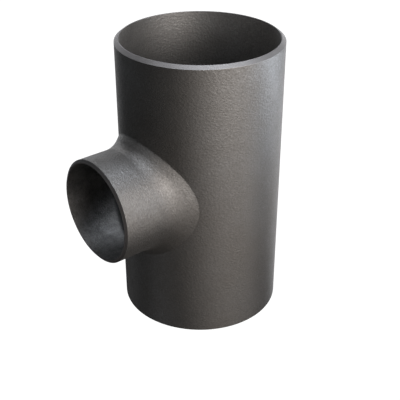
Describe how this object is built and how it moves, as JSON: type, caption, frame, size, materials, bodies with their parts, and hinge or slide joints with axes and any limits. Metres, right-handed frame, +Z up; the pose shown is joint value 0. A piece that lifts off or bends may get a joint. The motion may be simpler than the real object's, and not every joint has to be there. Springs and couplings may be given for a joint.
{
  "type": "reducing butt weld tee",
  "caption": "One-piece reducing tee for butt welding: a wide straight run of tube with a narrower branch drawn out square from its side, open and bevelled at every end.",
  "frame": {"origin": "where the run's axis and the branch's axis cross, half way up the run", "axes": "+Z up along the run, +X along the branch and out of its mouth, +Y completes the right-handed frame"},
  "size_m": [0.1808, 0.1396, 0.248],
  "materials": {
    "tee_steel": "matte"
  },
  "bodies": {
    "root": {"tee_body": "tee_steel"}
  },
  "joints": []
}
